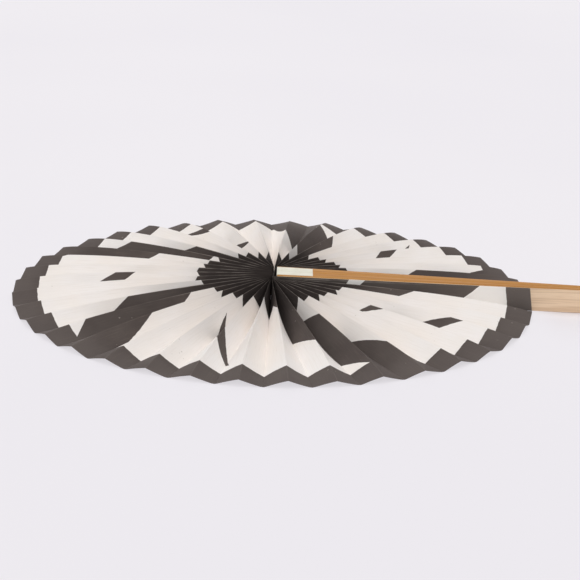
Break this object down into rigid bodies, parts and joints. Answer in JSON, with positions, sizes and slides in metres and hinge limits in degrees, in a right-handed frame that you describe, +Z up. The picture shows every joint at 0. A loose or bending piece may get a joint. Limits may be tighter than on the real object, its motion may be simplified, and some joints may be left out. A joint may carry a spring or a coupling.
{
  "type": "folding cockade fan",
  "caption": "Round folding fan: a pleated paper leaf that opens to a full circle round a hub, glued to a pair of flat bamboo guards that lie together as the handle.",
  "frame": {"origin": "the middle of the hub, on the surface that the open fan lies on", "axes": "+X along the handle, +Z up from the surface, +Y across, from the front guard to the back guard"},
  "size_m": [0.385, 0.26, 0.0122],
  "materials": {
    "bamboo": "satin",
    "tab_paper": "matte",
    "leaf_paper": "matte",
    "printed_paper": "matte"
  },
  "bodies": {
    "hub": {"leaf_spine": "leaf_paper"},
    "front_guard": {"front_guard": "bamboo", "front_tab": "tab_paper", "front_glue_flap": "leaf_paper"},
    "back_guard": {"back_guard": "bamboo", "back_tab": "tab_paper", "back_glue_flap": "leaf_paper"},
    "pleat_01": {"pleat_01": "printed_paper"},
    "pleat_02": {"pleat_02": "printed_paper"},
    "pleat_03": {"pleat_03": "printed_paper"},
    "pleat_04": {"pleat_04": "printed_paper"},
    "pleat_05": {"pleat_05": "printed_paper"},
    "pleat_06": {"pleat_06": "printed_paper"},
    "pleat_07": {"pleat_07": "printed_paper"},
    "pleat_08": {"pleat_08": "printed_paper"},
    "pleat_09": {"pleat_09": "printed_paper"},
    "pleat_10": {"pleat_10": "printed_paper"},
    "pleat_11": {"pleat_11": "printed_paper"},
    "pleat_12": {"pleat_12": "printed_paper"},
    "pleat_13": {"pleat_13": "printed_paper"},
    "pleat_14": {"pleat_14": "printed_paper"},
    "pleat_15": {"pleat_15": "printed_paper"},
    "pleat_16": {"pleat_16": "printed_paper"},
    "pleat_17": {"pleat_17": "printed_paper"},
    "pleat_18": {"pleat_18": "printed_paper"},
    "pleat_19": {"pleat_19": "printed_paper"},
    "pleat_20": {"pleat_20": "printed_paper"},
    "pleat_21": {"pleat_21": "printed_paper"},
    "pleat_22": {"pleat_22": "printed_paper"},
    "pleat_23": {"pleat_23": "printed_paper"},
    "pleat_24": {"pleat_24": "printed_paper"},
    "pleat_25": {"pleat_25": "printed_paper"},
    "pleat_26": {"pleat_26": "printed_paper"},
    "pleat_27": {"pleat_27": "printed_paper"},
    "pleat_28": {"pleat_28": "printed_paper"},
    "pleat_29": {"pleat_29": "printed_paper"},
    "pleat_30": {"pleat_30": "printed_paper"},
    "pleat_31": {"pleat_31": "printed_paper"},
    "pleat_32": {"pleat_32": "printed_paper"},
    "pleat_33": {"pleat_33": "printed_paper"},
    "pleat_34": {"pleat_34": "printed_paper"},
    "pleat_35": {"pleat_35": "printed_paper"},
    "pleat_36": {"pleat_36": "printed_paper"},
    "pleat_37": {"pleat_37": "printed_paper"},
    "pleat_38": {"pleat_38": "printed_paper"}
  },
  "joints": [
    {"name": "front_guard_swing", "type": "hinge", "parent": "hub", "child": "front_guard", "pos_m": [0, -0.00845, 0], "axis": [0, 0, -1], "range_deg": [0, 181.57]},
    {"name": "back_guard_swing", "type": "hinge", "parent": "hub", "child": "back_guard", "pos_m": [0, 0.00845, 0], "axis": [0, 0, 1], "range_deg": [0, 181.59]},
    {"name": "pleat_01_fold", "type": "hinge", "parent": "hub", "child": "pleat_01", "pos_m": [0.00181, -0.00838, 0], "axis": [0, 0, -1], "range_deg": [0, 176.89], "deforming": ["pleat_01"]},
    {"name": "pleat_02_fold", "type": "hinge", "parent": "hub", "child": "pleat_02", "pos_m": [0.00181, -0.00817, 0], "axis": [0, 0, -1], "range_deg": [0, 167.34], "deforming": ["pleat_02"]},
    {"name": "pleat_03_fold", "type": "hinge", "parent": "hub", "child": "pleat_03", "pos_m": [0.00183, -0.00798, 0], "axis": [0, 0, -1], "range_deg": [0, 157.69], "deforming": ["pleat_03"]},
    {"name": "pleat_04_fold", "type": "hinge", "parent": "hub", "child": "pleat_04", "pos_m": [0.00186, -0.0078, 0], "axis": [0, 0, -1], "range_deg": [0, 147.98], "deforming": ["pleat_04"]},
    {"name": "pleat_05_fold", "type": "hinge", "parent": "hub", "child": "pleat_05", "pos_m": [0.00192, -0.00765, 0], "axis": [0, 0, -1], "range_deg": [0, 138.22], "deforming": ["pleat_05"]},
    {"name": "pleat_06_fold", "type": "hinge", "parent": "hub", "child": "pleat_06", "pos_m": [0.00201, -0.00753, 0], "axis": [0, 0, -1], "range_deg": [0, 128.41], "deforming": ["pleat_06"]},
    {"name": "pleat_07_fold", "type": "hinge", "parent": "hub", "child": "pleat_07", "pos_m": [0.00214, -0.00744, 0], "axis": [0, 0, -1], "range_deg": [0, 118.59], "deforming": ["pleat_07"]},
    {"name": "pleat_08_fold", "type": "hinge", "parent": "hub", "child": "pleat_08", "pos_m": [0.00233, -0.00741, 0], "axis": [0, 0, -1], "range_deg": [0, 108.74], "deforming": ["pleat_08"]},
    {"name": "pleat_09_fold", "type": "hinge", "parent": "hub", "child": "pleat_09", "pos_m": [0.0026, -0.00744, 0], "axis": [0, 0, -1], "range_deg": [0, 98.89], "deforming": ["pleat_09"]},
    {"name": "pleat_10_fold", "type": "hinge", "parent": "hub", "child": "pleat_10", "pos_m": [0.00298, -0.00755, 0], "axis": [0, 0, -1], "range_deg": [0, 89.03], "deforming": ["pleat_10"]},
    {"name": "pleat_11_fold", "type": "hinge", "parent": "hub", "child": "pleat_11", "pos_m": [0.00358, -0.00745, 0], "axis": [0, 0, -1], "range_deg": [0, 79.02], "deforming": ["pleat_11"]},
    {"name": "pleat_12_fold", "type": "hinge", "parent": "hub", "child": "pleat_12", "pos_m": [0.00412, -0.0072, 0], "axis": [0, 0, -1], "range_deg": [0, 69.09], "deforming": ["pleat_12"]},
    {"name": "pleat_13_fold", "type": "hinge", "parent": "hub", "child": "pleat_13", "pos_m": [0.00459, -0.00677, 0], "axis": [0, 0, -1], "range_deg": [0, 59.3], "deforming": ["pleat_13"]},
    {"name": "pleat_14_fold", "type": "hinge", "parent": "hub", "child": "pleat_14", "pos_m": [0.00498, -0.00615, 0], "axis": [0, 0, -1], "range_deg": [0, 49.7], "deforming": ["pleat_14"]},
    {"name": "pleat_15_fold", "type": "hinge", "parent": "hub", "child": "pleat_15", "pos_m": [0.00529, -0.00535, 0], "axis": [0, 0, -1], "range_deg": [0, 40.3], "deforming": ["pleat_15"]},
    {"name": "pleat_16_fold", "type": "hinge", "parent": "hub", "child": "pleat_16", "pos_m": [0.00552, -0.00438, 0], "axis": [0, 0, -1], "range_deg": [0, 31.11], "deforming": ["pleat_16"]},
    {"name": "pleat_17_fold", "type": "hinge", "parent": "hub", "child": "pleat_17", "pos_m": [0.00567, -0.00325, 0], "axis": [0, 0, -1], "range_deg": [0, 22.09], "deforming": ["pleat_17"]},
    {"name": "pleat_18_fold", "type": "hinge", "parent": "hub", "child": "pleat_18", "pos_m": [0.00577, -0.002, 0], "axis": [0, 0, -1], "range_deg": [0, 13.2], "deforming": ["pleat_18"]},
    {"name": "pleat_19_fold", "type": "hinge", "parent": "hub", "child": "pleat_19", "pos_m": [0.00582, -0.00068, 0], "axis": [0, 0, -1], "range_deg": [0, 4.4], "deforming": ["pleat_19"]},
    {"name": "pleat_20_fold", "type": "hinge", "parent": "hub", "child": "pleat_20", "pos_m": [0.00582, 0.00068, 0], "axis": [0, 0, 1], "range_deg": [0, 4.4], "deforming": ["pleat_20"]},
    {"name": "pleat_21_fold", "type": "hinge", "parent": "hub", "child": "pleat_21", "pos_m": [0.00577, 0.002, 0], "axis": [0, 0, 1], "range_deg": [0, 13.2], "deforming": ["pleat_21"]},
    {"name": "pleat_22_fold", "type": "hinge", "parent": "hub", "child": "pleat_22", "pos_m": [0.00567, 0.00325, 0], "axis": [0, 0, 1], "range_deg": [0, 22.09], "deforming": ["pleat_22"]},
    {"name": "pleat_23_fold", "type": "hinge", "parent": "hub", "child": "pleat_23", "pos_m": [0.00552, 0.00438, 0], "axis": [0, 0, 1], "range_deg": [0, 31.11], "deforming": ["pleat_23"]},
    {"name": "pleat_24_fold", "type": "hinge", "parent": "hub", "child": "pleat_24", "pos_m": [0.00529, 0.00535, 0], "axis": [0, 0, 1], "range_deg": [0, 40.3], "deforming": ["pleat_24"]},
    {"name": "pleat_25_fold", "type": "hinge", "parent": "hub", "child": "pleat_25", "pos_m": [0.00498, 0.00615, 0], "axis": [0, 0, 1], "range_deg": [0, 49.7], "deforming": ["pleat_25"]},
    {"name": "pleat_26_fold", "type": "hinge", "parent": "hub", "child": "pleat_26", "pos_m": [0.00459, 0.00677, 0], "axis": [0, 0, 1], "range_deg": [0, 59.3], "deforming": ["pleat_26"]},
    {"name": "pleat_27_fold", "type": "hinge", "parent": "hub", "child": "pleat_27", "pos_m": [0.00412, 0.0072, 0], "axis": [0, 0, 1], "range_deg": [0, 69.09], "deforming": ["pleat_27"]},
    {"name": "pleat_28_fold", "type": "hinge", "parent": "hub", "child": "pleat_28", "pos_m": [0.00358, 0.00745, 0], "axis": [0, 0, 1], "range_deg": [0, 79.02], "deforming": ["pleat_28"]},
    {"name": "pleat_29_fold", "type": "hinge", "parent": "hub", "child": "pleat_29", "pos_m": [0.00298, 0.00755, 0], "axis": [0, 0, 1], "range_deg": [0, 89.03], "deforming": ["pleat_29"]},
    {"name": "pleat_30_fold", "type": "hinge", "parent": "hub", "child": "pleat_30", "pos_m": [0.0026, 0.00744, 0], "axis": [0, 0, 1], "range_deg": [0, 98.89], "deforming": ["pleat_30"]},
    {"name": "pleat_31_fold", "type": "hinge", "parent": "hub", "child": "pleat_31", "pos_m": [0.00233, 0.00741, 0], "axis": [0, 0, 1], "range_deg": [0, 108.74], "deforming": ["pleat_31"]},
    {"name": "pleat_32_fold", "type": "hinge", "parent": "hub", "child": "pleat_32", "pos_m": [0.00214, 0.00744, 0], "axis": [0, 0, 1], "range_deg": [0, 118.59], "deforming": ["pleat_32"]},
    {"name": "pleat_33_fold", "type": "hinge", "parent": "hub", "child": "pleat_33", "pos_m": [0.00201, 0.00753, 0], "axis": [0, 0, 1], "range_deg": [0, 128.41], "deforming": ["pleat_33"]},
    {"name": "pleat_34_fold", "type": "hinge", "parent": "hub", "child": "pleat_34", "pos_m": [0.00192, 0.00765, 0], "axis": [0, 0, 1], "range_deg": [0, 138.22], "deforming": ["pleat_34"]},
    {"name": "pleat_35_fold", "type": "hinge", "parent": "hub", "child": "pleat_35", "pos_m": [0.00186, 0.0078, 0], "axis": [0, 0, 1], "range_deg": [0, 147.98], "deforming": ["pleat_35"]},
    {"name": "pleat_36_fold", "type": "hinge", "parent": "hub", "child": "pleat_36", "pos_m": [0.00183, 0.00798, 0], "axis": [0, 0, 1], "range_deg": [0, 157.69], "deforming": ["pleat_36"]},
    {"name": "pleat_37_fold", "type": "hinge", "parent": "hub", "child": "pleat_37", "pos_m": [0.00181, 0.00817, 0], "axis": [0, 0, 1], "range_deg": [0, 167.34], "deforming": ["pleat_37"]},
    {"name": "pleat_38_fold", "type": "hinge", "parent": "hub", "child": "pleat_38", "pos_m": [0.00181, 0.00838, 0], "axis": [0, 0, 1], "range_deg": [0, 176.89], "deforming": ["pleat_38"]}
  ],
  "couplings": [
    {"joint": "back_guard_swing", "follows": "front_guard_swing", "ratio": 1},
    {"joint": "pleat_01_fold", "follows": "front_guard_swing", "ratio": 0.97416},
    {"joint": "pleat_02_fold", "follows": "front_guard_swing", "ratio": 0.92152},
    {"joint": "pleat_03_fold", "follows": "front_guard_swing", "ratio": 0.86841},
    {"joint": "pleat_04_fold", "follows": "front_guard_swing", "ratio": 0.81493},
    {"joint": "pleat_05_fold", "follows": "front_guard_swing", "ratio": 0.76115},
    {"joint": "pleat_06_fold", "follows": "front_guard_swing", "ratio": 0.70717},
    {"joint": "pleat_07_fold", "follows": "front_guard_swing", "ratio": 0.65305},
    {"joint": "pleat_08_fold", "follows": "front_guard_swing", "ratio": 0.59884},
    {"joint": "pleat_09_fold", "follows": "front_guard_swing", "ratio": 0.54457},
    {"joint": "pleat_10_fold", "follows": "front_guard_swing", "ratio": 0.49026},
    {"joint": "pleat_11_fold", "follows": "front_guard_swing", "ratio": 0.43514},
    {"joint": "pleat_12_fold", "follows": "front_guard_swing", "ratio": 0.38044},
    {"joint": "pleat_13_fold", "follows": "front_guard_swing", "ratio": 0.32653},
    {"joint": "pleat_14_fold", "follows": "front_guard_swing", "ratio": 0.27365},
    {"joint": "pleat_15_fold", "follows": "front_guard_swing", "ratio": 0.2219},
    {"joint": "pleat_16_fold", "follows": "front_guard_swing", "ratio": 0.17126},
    {"joint": "pleat_17_fold", "follows": "front_guard_swing", "ratio": 0.12158},
    {"joint": "pleat_18_fold", "follows": "front_guard_swing", "ratio": 0.07264},
    {"joint": "pleat_19_fold", "follows": "front_guard_swing", "ratio": 0.02416},
    {"joint": "pleat_20_fold", "follows": "front_guard_swing", "ratio": 0.02416},
    {"joint": "pleat_21_fold", "follows": "front_guard_swing", "ratio": 0.07264},
    {"joint": "pleat_22_fold", "follows": "front_guard_swing", "ratio": 0.12158},
    {"joint": "pleat_23_fold", "follows": "front_guard_swing", "ratio": 0.17126},
    {"joint": "pleat_24_fold", "follows": "front_guard_swing", "ratio": 0.2219},
    {"joint": "pleat_25_fold", "follows": "front_guard_swing", "ratio": 0.27365},
    {"joint": "pleat_26_fold", "follows": "front_guard_swing", "ratio": 0.32653},
    {"joint": "pleat_27_fold", "follows": "front_guard_swing", "ratio": 0.38044},
    {"joint": "pleat_28_fold", "follows": "front_guard_swing", "ratio": 0.43514},
    {"joint": "pleat_29_fold", "follows": "front_guard_swing", "ratio": 0.49026},
    {"joint": "pleat_30_fold", "follows": "front_guard_swing", "ratio": 0.54457},
    {"joint": "pleat_31_fold", "follows": "front_guard_swing", "ratio": 0.59884},
    {"joint": "pleat_32_fold", "follows": "front_guard_swing", "ratio": 0.65305},
    {"joint": "pleat_33_fold", "follows": "front_guard_swing", "ratio": 0.70717},
    {"joint": "pleat_34_fold", "follows": "front_guard_swing", "ratio": 0.76115},
    {"joint": "pleat_35_fold", "follows": "front_guard_swing", "ratio": 0.81493},
    {"joint": "pleat_36_fold", "follows": "front_guard_swing", "ratio": 0.86841},
    {"joint": "pleat_37_fold", "follows": "front_guard_swing", "ratio": 0.92152},
    {"joint": "pleat_38_fold", "follows": "front_guard_swing", "ratio": 0.97416}
  ]
}
